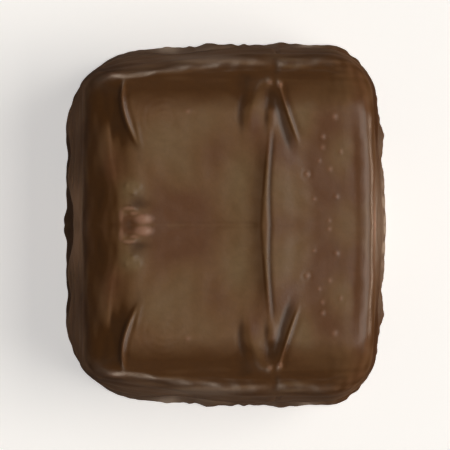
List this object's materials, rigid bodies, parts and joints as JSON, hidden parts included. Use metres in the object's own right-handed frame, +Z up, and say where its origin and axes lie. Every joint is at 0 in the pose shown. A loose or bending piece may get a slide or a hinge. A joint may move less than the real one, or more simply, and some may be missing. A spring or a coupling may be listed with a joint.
{
  "type": "chocolate covered marshmallow",
  "caption": "Square marshmallow under an unbroken coat of milk chocolate, with soft shoulders, raised folds and a small pinch on its top, and a thin pooled foot round its base.",
  "frame": {"origin": "on the resting plane, under the middle of the piece's bounding box", "axes": "+Z up, +Y along the longer side, +X towards the side whose shoulder is tighter. The folds on the top mirror across the plane Y = 0."},
  "size_m": [0.0398, 0.0452, 0.0216],
  "materials": {
    "milk_chocolate": "set milk chocolate with a soft satin sheen"
  },
  "bodies": {
    "root": {"chocolate_covered_marshmallow": "milk_chocolate"}
  },
  "joints": []
}
